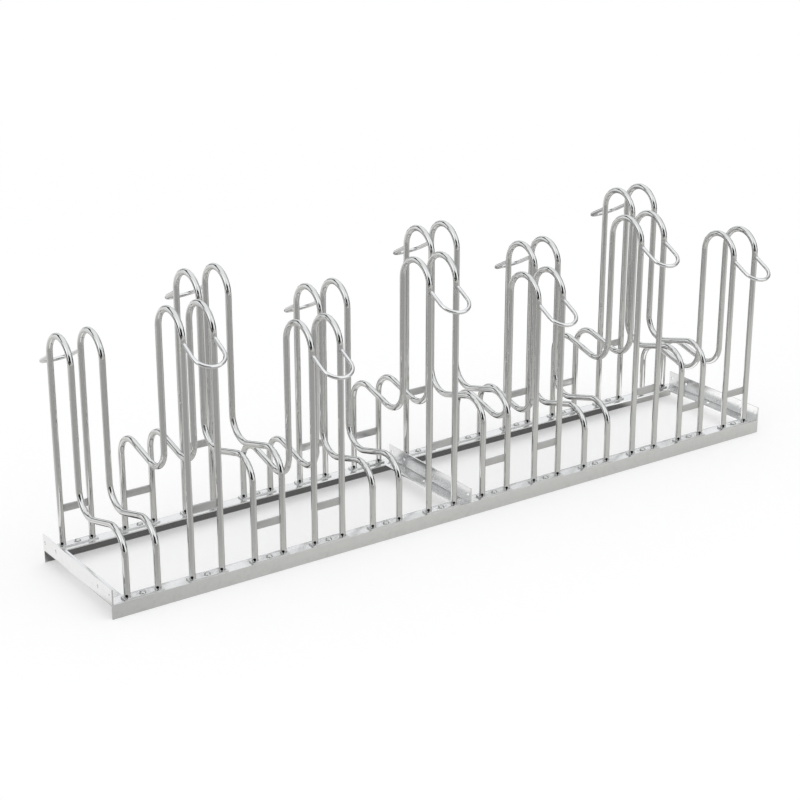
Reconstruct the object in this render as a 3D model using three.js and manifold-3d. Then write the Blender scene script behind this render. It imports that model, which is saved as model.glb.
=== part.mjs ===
// A double-sided bike rack: two tiers of bent tube wheel holders on a frame of steel angle.
// Millimetres. +X runs along the rack, +Y to its rear and +Z up from the ground under its middle.
import * as THREE from "three";
import { mergeVertices } from "three/addons/utils/BufferGeometryUtils.js";
import Module from "manifold-3d";

const wasm = await Module();
wasm.setup();

// Rails of steel angle, their upright flange outside and on the ground
const frameDepth = 380;
const railHeight = 38;
const railWidth = 38;
const railSteel = 4;

// Cross angles, with holes for coupling bolts in the web and for a ground anchor in the flange
const crossHeight = 44;
const crossWidth = 44;
const crossSteel = 4;
const couplingHole = 9;
const couplingHoleFromEnd = 12;
const couplingHolePitch = 62;
const anchorHole = 12;

// Tube bows, two to a holder
const holderPitch = 175;
const bowSpacing = 82;
const tubeDiameter = 16;
const legInset = 13;
const lowTierHeight = 617;
const tierLift = 100;
const bendRadius = 59;
const dipClearance = 169.5;
const riseAngle = THREE.MathUtils.degToRad(15);

// Lock loops of round rod, starting below the centre line of the crown
const rodDiameter = 10;
const loopDrop = 68;
const loopArm = 43;
const loopSlope = THREE.MathUtils.degToRad(28);

// Flat bars between the legs, by the height of their middle
const spacerHeight = 20;
const spacerSteel = 4;
const lowTallSpacer = 140;
const highTallSpacer = 222;
const highShortSpacer = 134;

// Foot plates
const footWidth = 24;
const footMargin = 4;
const footSteel = 4;

// Bolts that hold the foot plates to the rails
const boltShank = 8;
const boltHead = 17;
const boltHeadRise = 5;
const boltHole = 9;
const boltTail = 3;
const nutAcross = 15;
const nutHeight = 6.5;
const domeShares = [
  { out: 1, up: 0.35 },
  { out: 0.7, up: 0.85 },
  { out: 0, up: 1 },
];

// The gap between pieces that touch, and how far a cut or a joined end runs on
const fit = 0.3;
const overrun = 2;

// Facets
const tubeSides = 8;
const rodSides = 6;
const boltSides = 8;
const holeSides = 12;
const turnStep = Math.PI / 8;

// The row of holders: the side on which the tall legs stand, and the tier
const rearSide = 1;
const frontSide = -1;
const holderPattern = [
  { tallSide: rearSide, high: false },
  { tallSide: frontSide, high: true },
  { tallSide: rearSide, high: true },
  { tallSide: frontSide, high: false },
];
const patternRepeats = 3;

const holderCount = holderPattern.length * patternRepeats;
const rackLength = holderCount * holderPitch;
const tubeRadius = tubeDiameter / 2;
const legOffset = frameDepth / 2 - legInset;
const railInside = frameDepth / 2 - railWidth;
const railUnderside = railHeight - railSteel;
const footBase = railHeight + fit;
const footTop = footBase + footSteel;

const galvanisedTube = new THREE.MeshStandardMaterial({ color: 0xb4b6b6, roughness: 0.28, metalness: 0.95 });
const galvanisedRod = new THREE.MeshStandardMaterial({ color: 0xc2c5c6, roughness: 0.25, metalness: 0.95 });
const galvanisedAngle = new THREE.MeshStandardMaterial({ color: 0xb2b3b0, roughness: 0.38, metalness: 0.9 });
const galvanisedFlat = new THREE.MeshStandardMaterial({ color: 0xa9aaa7, roughness: 0.42, metalness: 0.9 });

// A closed geometry as a solid that can be cut and joined
function solidOf(geometry) {
  const bare = geometry.clone();
  bare.deleteAttribute("normal");
  bare.deleteAttribute("uv");
  const merged = mergeVertices(bare);
  return new wasm.Manifold(
    new wasm.Mesh({
      numProp: 3,
      vertProperties: merged.attributes.position.array,
      triVerts: new Uint32Array(merged.index.array),
    }),
  );
}

// A solid as a named mesh
function meshOf(name, solid, material) {
  const { numProp, vertProperties, triVerts } = solid.getMesh();
  const shared = new THREE.BufferGeometry();
  shared.setAttribute("position", new THREE.BufferAttribute(vertProperties, numProp));
  shared.setIndex(new THREE.BufferAttribute(triVerts, 1));
  const geometry = shared.toNonIndexed();
  geometry.computeVertexNormals();
  const mesh = new THREE.Mesh(geometry, material);
  mesh.name = name;
  return mesh;
}

// A box between two corners
function block(low, high) {
  const size = new THREE.Vector3().subVectors(high, low);
  const middle = new THREE.Vector3().addVectors(low, high).divideScalar(2);
  return solidOf(new THREE.BoxGeometry(...size).translate(...middle));
}

// A flat piece by its middle and its half sizes
function plate(middle, halfX, halfY, halfZ) {
  const half = new THREE.Vector3(halfX, halfY, halfZ);
  return block(middle.clone().sub(half), middle.clone().add(half));
}

// An upright pin and a pin that lies along X, by the middle of each
function uprightPin(diameter, length, sides, middle) {
  const pin = new THREE.CylinderGeometry(diameter / 2, diameter / 2, length, sides);
  return solidOf(pin.rotateX(Math.PI / 2).translate(...middle));
}

function lyingPin(diameter, length, sides, middle) {
  const pin = new THREE.CylinderGeometry(diameter / 2, diameter / 2, length, sides);
  return solidOf(pin.rotateZ(Math.PI / 2).translate(...middle));
}

// A route for a bar, with one station at each place where the bar's section is set
class StationCurve extends THREE.Curve {
  constructor(stations) {
    super();
    this.stations = stations;
  }
  stationAt(share) {
    return this.stations[Math.round(share * (this.stations.length - 1))];
  }
  getPointAt(share, target = new THREE.Vector3()) {
    return target.copy(this.stationAt(share).place);
  }
  getTangentAt(share, target = new THREE.Vector3()) {
    return target.copy(this.stationAt(share).heading);
  }
}

// A flat route of straights and arcs. Its heading is an angle, and a positive turn goes left.
class FlatRoute {
  constructor(u, v, heading) {
    this.u = u;
    this.v = v;
    this.heading = heading;
    this.stations = [];
    this.mark();
  }
  mark() {
    const { u, v, heading } = this;
    this.stations.push({ u, v, heading });
  }
  step(length, bearing) {
    this.u += length * Math.cos(bearing);
    this.v += length * Math.sin(bearing);
  }
  straight(length) {
    this.step(length, this.heading);
    this.mark();
    return this;
  }
  arc(angle, radius) {
    const steps = Math.round(Math.abs(angle) / turnStep);
    const turn = angle / steps;
    const chord = 2 * radius * Math.sin(Math.abs(turn) / 2);
    for (let i = 0; i < steps; i++) {
      this.step(chord, this.heading + turn / 2);
      this.heading += turn;
      this.mark();
    }
    return this;
  }
  // The same route in space, on the plane of two unit axes through an origin
  inSpace(origin, uAxis, vAxis) {
    const along = (u, v) => new THREE.Vector3().addScaledVector(uAxis, u).addScaledVector(vAxis, v);
    return new StationCurve(
      this.stations.map(({ u, v, heading }) => ({
        place: along(u, v).add(origin),
        heading: along(Math.cos(heading), Math.sin(heading)),
      })),
    );
  }
}

// A round bar along a route
function barAlong(route, diameter, sides) {
  const section = new THREE.Shape(
    Array.from({ length: sides }, (_, i) => {
      const angle = (i / sides) * 2 * Math.PI;
      return new THREE.Vector2(Math.cos(angle), Math.sin(angle)).multiplyScalar(diameter / 2);
    }),
  );
  const steps = route.stations.length - 1;
  return solidOf(new THREE.ExtrudeGeometry(section, { steps, extrudePath: route }));
}

// One bow: the tall leg, the crown, the leg down to the dip, the rise, the arch and the short leg
function bow(x, { tallSide, high }, base) {
  const lift = high ? tierLift : 0;
  const crownHeight = lowTierHeight + lift - tubeRadius - bendRadius;
  const dipHeight = dipClearance + lift + tubeRadius + bendRadius;
  const dipTurn = Math.PI / 2 + riseAngle;
  const betweenBends = 2 * legOffset - 4 * bendRadius;
  const riseRun = betweenBends - 2 * bendRadius * Math.sin(riseAngle);
  const bendDrop = 2 * bendRadius * Math.cos(riseAngle);
  const archHeight = dipHeight - bendDrop + riseRun * Math.tan(riseAngle);
  return barAlong(
    new FlatRoute(legOffset, base, Math.PI / 2)
      .straight(crownHeight - base)
      .arc(Math.PI, bendRadius)
      .straight(crownHeight - dipHeight)
      .arc(-dipTurn, bendRadius)
      .straight(riseRun / Math.cos(riseAngle))
      .arc(dipTurn, bendRadius)
      .straight(archHeight - base)
      .inSpace(new THREE.Vector3(x, 0, 0), new THREE.Vector3(0, tallSide, 0), new THREE.Vector3(0, 0, 1)),
    tubeDiameter,
    tubeSides,
  );
}

// The plate under a pair of legs, with its bolt hole
function footPlate(x, side) {
  const middle = new THREE.Vector3(x, side * legOffset, (footBase + footTop) / 2);
  const halfLength = (bowSpacing + tubeDiameter) / 2 + footMargin;
  const hole = uprightPin(boltHole, footSteel + 2 * overrun, boltSides, middle);
  return plate(middle, halfLength, footWidth / 2, footSteel / 2).subtract(hole);
}

// The loop that takes a lock, out and down from one tall leg and back to the other.
// Its square ends stand off far enough for their lower edge to clear the legs.
function lockLoop(x, { tallSide, high }) {
  const lift = high ? tierLift : 0;
  const start = new THREE.Vector3(
    x,
    tallSide * (legOffset + tubeRadius),
    lowTierHeight + lift - tubeRadius - loopDrop,
  );
  const outwards = new THREE.Vector3(0, tallSide * Math.cos(loopSlope), -Math.sin(loopSlope));
  const standOff = (fit + (rodDiameter / 2) * Math.sin(loopSlope)) / Math.cos(loopSlope);
  return barAlong(
    new FlatRoute(-bowSpacing / 2, standOff, Math.PI / 2)
      .straight(loopArm - standOff)
      .arc(-Math.PI, bowSpacing / 2)
      .straight(loopArm - standOff)
      .inSpace(start, new THREE.Vector3(1, 0, 0), outwards),
    rodDiameter,
    rodSides,
  );
}

// A flat bar between the two legs on one side of a holder
function spacer(x, side, height) {
  const halfLength = (bowSpacing - tubeDiameter) / 2 - fit;
  const middle = new THREE.Vector3(x, side * legOffset, height);
  return plate(middle, halfLength, spacerSteel / 2, spacerHeight / 2);
}

// A domed bolt through the rail, with its nut underneath
function bolt(x, side) {
  const headBase = footTop + fit;
  const tail = railUnderside - nutHeight - boltTail;
  const profile = [
    new THREE.Vector2(0, tail),
    new THREE.Vector2(boltShank / 2, tail),
    new THREE.Vector2(boltShank / 2, headBase),
    new THREE.Vector2(boltHead / 2, headBase),
    ...domeShares.map(
      ({ out, up }) => new THREE.Vector2((out * boltHead) / 2, headBase + up * boltHeadRise),
    ),
  ];
  const turned = new THREE.LatheGeometry(profile, boltSides).rotateX(Math.PI / 2);
  const middle = new THREE.Vector3(x, side * legOffset, railUnderside - nutHeight / 2);
  return solidOf(turned.translate(x, middle.y, 0)).add(uprightPin(nutAcross, nutHeight, 6, middle));
}

// A rail over the whole length, with the bolts that stand in it
function rail(side) {
  const outside = (side * frameDepth) / 2;
  const inside = side * railInside;
  const uprightInside = outside - side * railSteel;
  const outline = new THREE.Shape([
    new THREE.Vector2(outside, 0),
    new THREE.Vector2(outside, railHeight),
    new THREE.Vector2(inside, railHeight),
    new THREE.Vector2(inside, railUnderside),
    new THREE.Vector2(uprightInside, railUnderside),
    new THREE.Vector2(uprightInside, 0),
  ]);
  const angle = new THREE.ExtrudeGeometry(outline, { depth: rackLength, bevelEnabled: false });
  angle.rotateX(Math.PI / 2).rotateZ(Math.PI / 2).translate(-rackLength / 2, 0, 0);
  const bolts = holders.map(({ x }) => bolt(x, side));
  return wasm.Manifold.union([solidOf(angle), ...bolts]);
}

// A cross angle. Its web's outer face is at x and its flange lies between the rails, on the side
// that reach gives, level with their tops. The web stands up over the rails.
function crossAngle(x, reach) {
  const top = railUnderside + crossHeight;
  const end = frameDepth / 2;
  const between = railInside - fit;
  const corners = (width, halfDepth, base, height) => {
    const far = x + reach * width;
    return block(
      new THREE.Vector3(Math.min(x, far), -halfDepth, base),
      new THREE.Vector3(Math.max(x, far), halfDepth, height),
    );
  };
  const web = corners(crossSteel, end, footBase, top);
  const webRoot = corners(crossSteel, between, railUnderside, footBase + overrun);
  const flange = corners(crossWidth, between, railUnderside, railUnderside + crossSteel);
  const throughSteel = 2 * (crossSteel + overrun);
  const holePlaces = [rearSide, frontSide].flatMap((side) => [
    side * (end - couplingHoleFromEnd),
    side * (end - couplingHoleFromEnd - couplingHolePitch),
  ]);
  const webHeight = (railHeight + top) / 2;
  const holes = holePlaces.map((y) =>
    lyingPin(couplingHole, throughSteel, holeSides, new THREE.Vector3(x, y, webHeight)),
  );
  const anchorPlace = new THREE.Vector3(x + (reach * crossWidth) / 2, 0, railUnderside);
  holes.push(uprightPin(anchorHole, throughSteel, holeSides, anchorPlace));
  return web.add(webRoot).add(flange).subtract(wasm.Manifold.union(holes));
}

const holders = Array.from({ length: holderCount }, (_, i) => ({
  ...holderPattern[i % holderPattern.length],
  name: `holder_${String(i + 1).padStart(2, "0")}`,
  x: (i - (holderCount - 1) / 2) * holderPitch,
}));

const rack = new THREE.Group();

// Frame
rack.add(
  meshOf("front_rail", rail(frontSide), galvanisedAngle),
  meshOf("rear_rail", rail(rearSide), galvanisedAngle),
  meshOf("left_cross_angle", crossAngle(-rackLength / 2, 1), galvanisedAngle),
  meshOf("middle_cross_angle", crossAngle(crossSteel / 2, -1), galvanisedAngle),
  meshOf("right_cross_angle", crossAngle(rackLength / 2, -1), galvanisedAngle),
);

// Wheel holders. Each left bow is one body with the two foot plates that its holder stands on.
for (const holder of holders) {
  const { name, x, tallSide, high } = holder;
  const leftTube = bow(x - bowSpacing / 2, holder, footTop - footSteel / 2);
  const rightTube = bow(x + bowSpacing / 2, holder, footTop + fit);
  const feet = [frontSide, rearSide].map((side) => footPlate(x, side));
  const tallSpacer = spacer(x, tallSide, high ? highTallSpacer : lowTallSpacer);
  rack.add(
    meshOf(`${name}_left_bow`, wasm.Manifold.union([leftTube, ...feet]), galvanisedTube),
    meshOf(`${name}_right_bow`, rightTube, galvanisedTube),
    meshOf(`${name}_lock_loop`, lockLoop(x, holder), galvanisedRod),
    meshOf(`${name}_tall_side_spacer`, tallSpacer, galvanisedFlat),
  );
  if (high) {
    const shortSpacer = spacer(x, -tallSide, highShortSpacer);
    rack.add(meshOf(`${name}_short_side_spacer`, shortSpacer, galvanisedFlat));
  }
}

export default rack;
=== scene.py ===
import bpy
import math
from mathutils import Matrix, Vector


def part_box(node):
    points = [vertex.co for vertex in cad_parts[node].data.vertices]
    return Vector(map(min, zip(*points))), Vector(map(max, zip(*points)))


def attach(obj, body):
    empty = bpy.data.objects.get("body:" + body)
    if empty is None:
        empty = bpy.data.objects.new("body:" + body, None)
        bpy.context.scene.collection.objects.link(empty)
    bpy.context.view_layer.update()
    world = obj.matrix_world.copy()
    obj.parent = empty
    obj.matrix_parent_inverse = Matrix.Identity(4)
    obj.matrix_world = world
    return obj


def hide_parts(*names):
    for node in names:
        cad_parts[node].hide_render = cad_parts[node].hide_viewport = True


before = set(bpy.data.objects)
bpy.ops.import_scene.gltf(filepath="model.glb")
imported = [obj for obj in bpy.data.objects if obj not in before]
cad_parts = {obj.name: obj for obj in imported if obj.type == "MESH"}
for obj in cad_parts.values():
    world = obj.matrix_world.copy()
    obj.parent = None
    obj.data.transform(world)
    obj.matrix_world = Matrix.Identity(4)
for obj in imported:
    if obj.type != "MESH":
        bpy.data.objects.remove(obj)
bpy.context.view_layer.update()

# The rack stands on the ground, +X along it and +Y to its rear. All lengths are in metres.
scene = bpy.context.scene
scene.view_settings.view_transform = "Standard"
print("frame loaded,", len(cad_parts), "nodes")

# Camera, from the front left and a little above
photoCamera = {
    "place": (-2.7630, -3.8603, 2.0728),
    "azimuth": math.radians(-34.633),
    "elevation": math.radians(20.813),
    "lens": 85.3187,
    "sensor": 36.0,
    "farClip": 200.0,
}


def addCamera():
    azimuth = photoCamera["azimuth"]
    elevation = photoCamera["elevation"]
    backwards = Vector((
        math.sin(azimuth) * math.cos(elevation),
        -math.cos(azimuth) * math.cos(elevation),
        math.sin(elevation),
    ))
    bpy.ops.object.camera_add(location=photoCamera["place"])
    camera = bpy.context.active_object
    camera.name = "photo_camera"
    camera.rotation_euler = (-backwards).to_track_quat("-Z", "Y").to_euler()
    camera.data.lens = photoCamera["lens"]
    camera.data.sensor_width = photoCamera["sensor"]
    camera.data.clip_end = photoCamera["farClip"]
    scene.camera = camera


addCamera()
print("camera set")


# Selecting and editing
mergeDistance = 0.00001  # corners closer than this become one
nearby = 0.0005  # an edge this close to a place lies there
facingShare = 0.9  # a face with this much of its normal along a direction faces that way


def selectOnly(piece):
    bpy.ops.object.select_all(action="DESELECT")
    piece.select_set(True)
    bpy.context.view_layer.objects.active = piece


def selectParts(piece, kind, wanted):
    # kind is VERT, EDGE or FACE, and wanted tells by the part whether it is selected
    parts = {"VERT": piece.data.vertices, "EDGE": piece.data.edges, "FACE": piece.data.polygons}[kind]
    bpy.ops.object.mode_set(mode="EDIT")
    bpy.ops.mesh.select_mode(type=kind)
    bpy.ops.mesh.select_all(action="DESELECT")
    bpy.ops.object.mode_set(mode="OBJECT")
    for part in parts:
        part.select = wanted(part)
    bpy.ops.object.mode_set(mode="EDIT")


def edgeEnds(piece, edge):
    return [piece.data.vertices[corner].co for corner in edge.vertices]


def edgeRise(piece, edge):
    start, end = edgeEnds(piece, edge)
    return abs(start.z - end.z)


def startEdit(piece):
    selectOnly(piece)
    bpy.ops.object.mode_set(mode="EDIT")
    bpy.ops.mesh.select_all(action="SELECT")


def endEdit():
    bpy.ops.object.mode_set(mode="OBJECT")


def endSweep():
    # Joins the rings that lie on each other, and turns every face outwards
    bpy.ops.mesh.select_all(action="SELECT")
    bpy.ops.mesh.remove_doubles(threshold=mergeDistance)
    bpy.ops.mesh.normals_make_consistent(inside=False)
    endEdit()


def extrude(x, y, z):
    bpy.ops.mesh.extrude_region_move(TRANSFORM_OT_translate={"value": (x, y, z)})


def applyPlace(piece):
    selectOnly(piece)
    bpy.ops.object.transform_apply(location=True, rotation=True, scale=True)


def addBlock(middle, size):
    bpy.ops.mesh.primitive_cube_add(size=1, location=middle)
    block = bpy.context.active_object
    block.scale = size
    applyPlace(block)
    return block


def addCylinder(sides, radius, length, middle, turn=(0, 0, 0)):
    bpy.ops.mesh.primitive_cylinder_add(
        vertices=sides, radius=radius, depth=length, location=middle, rotation=turn,
    )
    return bpy.context.active_object


def combineWith(piece, other, operation):
    selectOnly(piece)
    bpy.ops.object.modifier_add(type="BOOLEAN")
    combined = piece.modifiers[-1]
    combined.operation = operation
    combined.solver = "EXACT"
    combined.object = other
    bpy.ops.object.modifier_apply(modifier=combined.name)
    bpy.data.objects.remove(other)


def cutWith(piece, cutter):
    combineWith(piece, cutter, "DIFFERENCE")


def bevelWith(piece, width, segments, angle):
    selectOnly(piece)
    bpy.ops.object.modifier_add(type="BEVEL")
    bevel = piece.modifiers[-1]
    bevel.width = width
    bevel.segments = segments
    bevel.limit_method = "ANGLE"
    bevel.angle_limit = math.radians(angle)
    bpy.ops.object.modifier_apply(modifier=bevel.name)


def roundEdges(piece, rows, isAt):
    # A row is the width of a bevel, its segments and the places of its edges. isAt tells if an edge is there.
    for width, segments, places in rows:
        selectParts(piece, "EDGE", lambda edge: any(isAt(edge, *place) for place in places))
        bpy.ops.mesh.bevel(offset=width, segments=segments, profile=0.5)
        endEdit()


def smoothBelow(piece, angle):
    selectOnly(piece)
    bpy.ops.object.shade_smooth_by_angle(angle=math.radians(angle), keep_sharp_edges=True)


def joinPieces(pieces):
    bpy.ops.object.select_all(action="DESELECT")
    for piece in pieces:
        piece.select_set(True)
    bpy.context.view_layer.objects.active = pieces[0]
    if len(pieces) > 1:
        bpy.ops.object.join()
    return bpy.context.active_object


def copyTo(master, name, shift, turn=0.0):
    selectOnly(master)
    bpy.ops.object.duplicate(linked=False)
    copy = bpy.context.active_object
    copy.name = name
    copy.data.name = name
    copy.rotation_euler.z = turn
    copy.location = shift
    bpy.ops.object.transform_apply(location=True, rotation=True, scale=True)
    return copy


def dress(piece, materials, slot, *nodes):
    # A piece that has its materials already keeps them
    if not piece.data.materials:
        for material in materials:
            piece.data.materials.append(material)
    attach(piece, "root")
    if nodes:
        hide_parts(*nodes)


# Zinc finish, shared by every material on the rack
zincDetail = {
    "wobbleScale": 420.0,
    "wobble": 0.0035,
    "dripScale": (260, 260, 14),
    "dripContrast": 0.05,
    "grimeHeight": 0.16,
    "grimeScale": 75.0,
    "grimeFrom": 0.5,
    "grimeFull": 0.72,
    "grimeColour": (0.24, 0.225, 0.2, 1),
    "grimeRoughness": 0.3,
    "crystalRoughness": 0.4,
    "grainScale": 900.0,
    "grainRelief": 0.35,
    "cloudRelief": 1.6,
    "dripRelief": 0.6,
    "bumpDistance": 0.0006,
}


def addNode(tree, kind, values=None, **settings):
    node = tree.nodes.new(kind)
    for name, value in settings.items():
        setattr(node, name, value)
    for name, value in (values or {}).items():
        node.inputs[name].default_value = value
    return node


def makeZincGroup():
    group = bpy.data.node_groups.new("zincCoat", "ShaderNodeTree")
    sockets = group.interface
    for name, kind, value in (
        ("Tone", "NodeSocketColor", (0.5, 0.5, 0.5, 1)),
        ("Spangle Scale", "NodeSocketFloat", 180.0),
        ("Spangle Contrast", "NodeSocketFloat", 0.08),
        ("Cloud Scale", "NodeSocketFloat", 9.0),
        ("Cloud Contrast", "NodeSocketFloat", 0.12),
        ("Roughness", "NodeSocketFloat", 0.2),
        ("Roughness Variation", "NodeSocketFloat", 0.08),
        ("Grime", "NodeSocketFloat", 0.3),
        ("Bump", "NodeSocketFloat", 0.1),
    ):
        socket = sockets.new_socket(name, in_out="INPUT", socket_type=kind)
        socket.default_value = value
    sockets.new_socket("Color", in_out="OUTPUT", socket_type="NodeSocketColor")
    sockets.new_socket("Roughness", in_out="OUTPUT", socket_type="NodeSocketFloat")
    sockets.new_socket("Normal", in_out="OUTPUT", socket_type="NodeSocketVector")
    link = group.links.new
    given = addNode(group, "NodeGroupInput").outputs
    result = addNode(group, "NodeGroupOutput").inputs
    place = addNode(group, "ShaderNodeTexCoord").outputs["Object"]

    def maths(operation, first, second, clamp=False):
        node = addNode(group, "ShaderNodeMath", operation=operation, use_clamp=clamp)
        for socket, value in zip(node.inputs, (first, second)):
            if isinstance(value, (int, float)):
                socket.default_value = value
            else:
                link(value, socket)
        return node.outputs[0]

    # Zinc crystals, each with a tone of its own, seen through a wobble so that their borders are ragged
    wobble = addNode(group, "ShaderNodeTexNoise", {"Scale": zincDetail["wobbleScale"], "Detail": 2.0})
    link(place, wobble.inputs["Vector"])
    wobbled = addNode(group, "ShaderNodeMix", {
        "Factor": zincDetail["wobble"],
    }, data_type="RGBA", blend_type="LINEAR_LIGHT")
    link(place, wobbled.inputs[6])
    link(wobble.outputs["Color"], wobbled.inputs[7])
    crystals = addNode(group, "ShaderNodeTexVoronoi", feature="F1")
    link(wobbled.outputs[2], crystals.inputs["Vector"])
    link(given["Spangle Scale"], crystals.inputs["Scale"])
    crystalTone = addNode(group, "ShaderNodeSeparateColor")
    link(crystals.outputs["Color"], crystalTone.inputs[0])
    crystalShade = maths("SUBTRACT", crystalTone.outputs[0], 0.5)

    # Clouds of duller and brighter zinc
    clouds = addNode(group, "ShaderNodeTexNoise", {"Detail": 5.0, "Roughness": 0.6})
    link(place, clouds.inputs["Vector"])
    link(given["Cloud Scale"], clouds.inputs["Scale"])
    cloudShade = maths("SUBTRACT", clouds.outputs[0], 0.5)

    # Short drips that run down, from the bath
    drips = addNode(group, "ShaderNodeMapping")
    drips.inputs["Scale"].default_value = zincDetail["dripScale"]
    link(place, drips.inputs["Vector"])
    dripNoise = addNode(group, "ShaderNodeTexNoise", {"Scale": 1.0, "Detail": 3.0})
    link(drips.outputs[0], dripNoise.inputs["Vector"])
    dripShade = maths("SUBTRACT", dripNoise.outputs[0], 0.5)

    shade = maths("MULTIPLY", crystalShade, given["Spangle Contrast"])
    shade = maths("ADD", shade, maths("MULTIPLY", cloudShade, given["Cloud Contrast"]))
    shade = maths("ADD", shade, maths("MULTIPLY", dripShade, zincDetail["dripContrast"]))

    # Dust and splashes, most of them near the ground
    height = addNode(group, "ShaderNodeSeparateXYZ")
    link(place, height.inputs[0])
    low = addNode(group, "ShaderNodeMapRange", {
        "From Min": 0.0,
        "From Max": zincDetail["grimeHeight"],
        "To Min": 1.0,
        "To Max": 0.0,
    })
    link(height.outputs["Z"], low.inputs["Value"])
    splash = addNode(group, "ShaderNodeTexNoise", {
        "Scale": zincDetail["grimeScale"],
        "Detail": 6.0,
        "Roughness": 0.7,
    })
    link(place, splash.inputs["Vector"])
    splashSpots = addNode(group, "ShaderNodeMapRange", {
        "From Min": zincDetail["grimeFrom"],
        "From Max": zincDetail["grimeFull"],
    })
    link(splash.outputs[0], splashSpots.inputs["Value"])
    grime = maths("MULTIPLY", splashSpots.outputs[0], maths("POWER", low.outputs[0], 2.0))
    grime = maths("MULTIPLY", grime, given["Grime"], True)

    brightness = maths("ADD", shade, 1.0)
    toned = addNode(group, "ShaderNodeVectorMath", operation="SCALE")
    link(given["Tone"], toned.inputs[0])
    link(brightness, toned.inputs["Scale"])
    dirty = addNode(group, "ShaderNodeMix", data_type="RGBA", blend_type="MIX")
    link(grime, dirty.inputs["Factor"])
    link(toned.outputs[0], dirty.inputs[6])
    dirty.inputs[7].default_value = zincDetail["grimeColour"]
    link(dirty.outputs[2], result["Color"])

    # The shades go from -0.5 to 0.5, so twice of them gives the whole variation
    rough = maths("ADD", cloudShade, maths("MULTIPLY", crystalShade, zincDetail["crystalRoughness"]))
    rough = maths("MULTIPLY", rough, given["Roughness Variation"])
    rough = maths("ADD", maths("MULTIPLY", rough, 2.0), given["Roughness"])
    rough = maths("ADD", rough, maths("MULTIPLY", grime, zincDetail["grimeRoughness"]), True)
    link(rough, result["Roughness"])

    # Relief of fine grain, clouds and drips
    grain = addNode(group, "ShaderNodeTexNoise", {"Scale": zincDetail["grainScale"], "Detail": 3.0})
    link(place, grain.inputs["Vector"])
    relief = maths("MULTIPLY", grain.outputs[0], zincDetail["grainRelief"])
    relief = maths("ADD", relief, maths("MULTIPLY", clouds.outputs[0], zincDetail["cloudRelief"]))
    relief = maths("ADD", relief, maths("MULTIPLY", dripNoise.outputs[0], zincDetail["dripRelief"]))
    bump = addNode(group, "ShaderNodeBump", {"Distance": zincDetail["bumpDistance"]})
    link(relief, bump.inputs["Height"])
    link(given["Bump"], bump.inputs["Strength"])
    link(bump.outputs[0], result["Normal"])
    return group


zincCoat = makeZincGroup()


def makeZinc(name, values):
    material = bpy.data.materials.new(name)
    material.use_nodes = True
    tree = material.node_tree
    shader = tree.nodes["Principled BSDF"]
    shader.inputs["Metallic"].default_value = 1.0
    coat = addNode(tree, "ShaderNodeGroup", node_tree=zincCoat)
    for socket, value in values.items():
        coat.inputs[socket].default_value = value
    tree.links.new(coat.outputs["Color"], shader.inputs["Base Color"])
    tree.links.new(coat.outputs["Roughness"], shader.inputs["Roughness"])
    tree.links.new(coat.outputs["Normal"], shader.inputs["Normal"])
    return material


galvanisedTube = makeZinc("galvanisedTube", {
    "Tone": (0.672, 0.673, 0.664, 1),
    "Spangle Scale": 170.0,
    "Spangle Contrast": 0.025,
    "Cloud Scale": 14.0,
    "Cloud Contrast": 0.04,
    "Roughness": 0.04,
    "Roughness Variation": 0.02,
    "Grime": 0.35,
    "Bump": 0.012,
})
galvanisedRod = makeZinc("galvanisedRod", {
    "Tone": (0.74, 0.74, 0.738, 1),
    "Spangle Scale": 260.0,
    "Spangle Contrast": 0.025,
    "Cloud Scale": 22.0,
    "Cloud Contrast": 0.04,
    "Roughness": 0.035,
    "Roughness Variation": 0.015,
    "Grime": 0.0,
    "Bump": 0.012,
})
galvanisedAngle = makeZinc("galvanisedAngle", {
    "Tone": (0.775, 0.775, 0.772, 1),
    "Spangle Scale": 110.0,
    "Spangle Contrast": 0.02,
    "Cloud Scale": 7.0,
    "Cloud Contrast": 0.03,
    "Roughness": 0.22,
    "Roughness Variation": 0.03,
    "Grime": 0.15,
    "Bump": 0.006,
})
galvanisedFlat = makeZinc("galvanisedFlat", {
    "Tone": (0.74, 0.74, 0.737, 1),
    "Spangle Scale": 150.0,
    "Spangle Contrast": 0.03,
    "Cloud Scale": 25.0,
    "Cloud Contrast": 0.04,
    "Roughness": 0.24,
    "Roughness Variation": 0.04,
    "Grime": 0.12,
    "Bump": 0.01,
})
# The spacers get a darker copy of the flat bar's finish: painted shade, for the darker look of the bars that
# face the front
flatBarShadedForSpacers = makeZinc("flatBarShadedForSpacers", {
    "Tone": (0.562, 0.562, 0.557, 1),
    "Spangle Scale": 150.0,
    "Spangle Contrast": 0.03,
    "Cloud Scale": 25.0,
    "Cloud Contrast": 0.04,
    "Roughness": 0.3,
    "Roughness Variation": 0.04,
    "Grime": 0.12,
    "Bump": 0.01,
})
# Weld zinc, duller than the tube. Its darker tone is partly the weld's own and partly painted shade in the
# creases where the beads sit, such as round the feet of the tubes
weldZincWithCreaseShade = makeZinc("weldZincWithCreaseShade", {
    "Tone": (0.5, 0.5, 0.49, 1),
    "Spangle Scale": 320.0,
    "Spangle Contrast": 0.16,
    "Cloud Scale": 120.0,
    "Cloud Contrast": 0.25,
    "Roughness": 0.38,
    "Roughness Variation": 0.14,
    "Grime": 0.3,
    "Bump": 0.2,
})
platedBolt = makeZinc("platedBolt", {
    "Tone": (0.6, 0.6, 0.592, 1),
    "Spangle Scale": 500.0,
    "Spangle Contrast": 0.04,
    "Cloud Scale": 60.0,
    "Cloud Contrast": 0.14,
    "Roughness": 0.07,
    "Roughness Variation": 0.03,
    "Grime": 0.2,
    "Bump": 0.06,
})
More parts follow.
